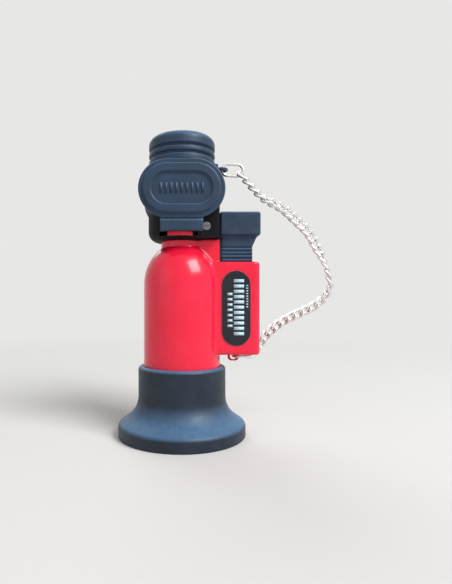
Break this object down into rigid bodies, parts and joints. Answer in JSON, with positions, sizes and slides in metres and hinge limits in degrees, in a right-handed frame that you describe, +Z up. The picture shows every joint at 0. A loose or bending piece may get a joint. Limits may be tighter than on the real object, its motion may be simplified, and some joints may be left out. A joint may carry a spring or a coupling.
{
  "type": "butane torch",
  "caption": "Pocket butane torch with side trigger, oval-faced head, ribbed nozzle cap on a chain and a removable flared stand.",
  "frame": {"origin": "middle of the stand's underside, on the tank's axis", "axes": "+Z up the tank's axis to the nozzle, +X towards the side box and trigger, -Y the front with the cover's tab"},
  "size_m": [0.0881, 0.05, 0.1164],
  "materials": {
    "stand_black": "matte",
    "tank_red": "gloss",
    "head_black": "satin",
    "cover_black": "matte",
    "label_black": "satin",
    "adjuster_red": "satin",
    "brass": "machined",
    "steel": "brushed",
    "screw_black": "black oxide",
    "chain_nickel": "bright nickel",
    "rubber": "matte",
    "wick_white": "felt",
    "piezo_grey": "matte",
    "lead_red": "satin",
    "ceramic": "glazed"
  },
  "bodies": {
    "stand": {"stand_base": "stand_black"},
    "torch": {"tank_shell": "tank_red", "label_plate": "label_black", "tank_bottom_plug": "tank_red", "fill_valve_body": "brass", "fill_valve_seal": "rubber", "fill_valve_spring": "steel", "outlet_valve_body": "brass", "outlet_valve_seal": "rubber", "outlet_valve_spring": "steel", "outlet_wick": "wick_white", "piezo_case": "piezo_grey", "piezo_spring": "steel", "piezo_lead": "lead_red", "head_shell_front": "head_black", "head_shell_rear": "head_black", "head_screws": "screw_black", "front_oval_cover": "cover_black", "rear_oval_cover": "cover_black", "jet_holder": "brass", "jet_nozzle": "brass", "mixing_tube": "brass", "burner_tube": "steel", "flame_holder": "steel", "nozzle_guard": "steel", "electrode_insulator": "ceramic", "electrode_pin": "steel", "chain_links": "chain_nickel", "anchor_ring": "chain_nickel"},
    "trigger_unit": {"trigger": "cover_black", "piezo_plunger": "piezo_grey"},
    "lever": {"valve_lever": "steel"},
    "outlet_stem": {"outlet_valve_stem": "brass"},
    "fill_stem": {"fill_valve_stem": "brass"},
    "adjuster": {"flame_adjuster": "adjuster_red"},
    "cap": {"nozzle_cap": "cover_black", "cap_ring": "chain_nickel"}
  },
  "joints": [
    {"name": "torch_lift", "type": "slide", "parent": "stand", "child": "torch", "axis": [0, 0, 1], "range_m": [0, 0.06]},
    {"name": "trigger_press", "type": "slide", "parent": "torch", "child": "trigger_unit", "axis": [0, 0, -1], "range_m": [0, 0.0045], "stiffness_N_per_m": 1500, "deforming": ["piezo_spring"]},
    {"name": "valve_lever_rock", "type": "hinge", "parent": "torch", "child": "lever", "pos_m": [0.0093, 0, 0.08067], "axis": [0, 1, 0], "range_deg": [0, 15]},
    {"name": "outlet_stem_lift", "type": "slide", "parent": "torch", "child": "outlet_stem", "axis": [0, 0, 1], "range_m": [0, 0.0023], "deforming": ["outlet_valve_spring"]},
    {"name": "fill_stem_press", "type": "slide", "parent": "torch", "child": "fill_stem", "axis": [0, 0, 1], "range_m": [0, 0.0015], "stiffness_N_per_m": 800, "deforming": ["fill_valve_spring"]},
    {"name": "adjuster_turn", "type": "hinge", "parent": "torch", "child": "adjuster", "pos_m": [0, 0, 0.0776], "axis": [0, 0, 1], "range_deg": [-15, 8]},
    {"name": "cap_lift", "type": "slide", "parent": "torch", "child": "cap", "axis": [0, 0, 1], "range_m": [0, 0.03], "deforming": ["chain_links"]}
  ],
  "couplings": [
    {"joint": "valve_lever_rock", "follows": "trigger_press", "rad_per_m": 57.7},
    {"joint": "outlet_stem_lift", "follows": "trigger_press", "ratio": 0.489}
  ]
}
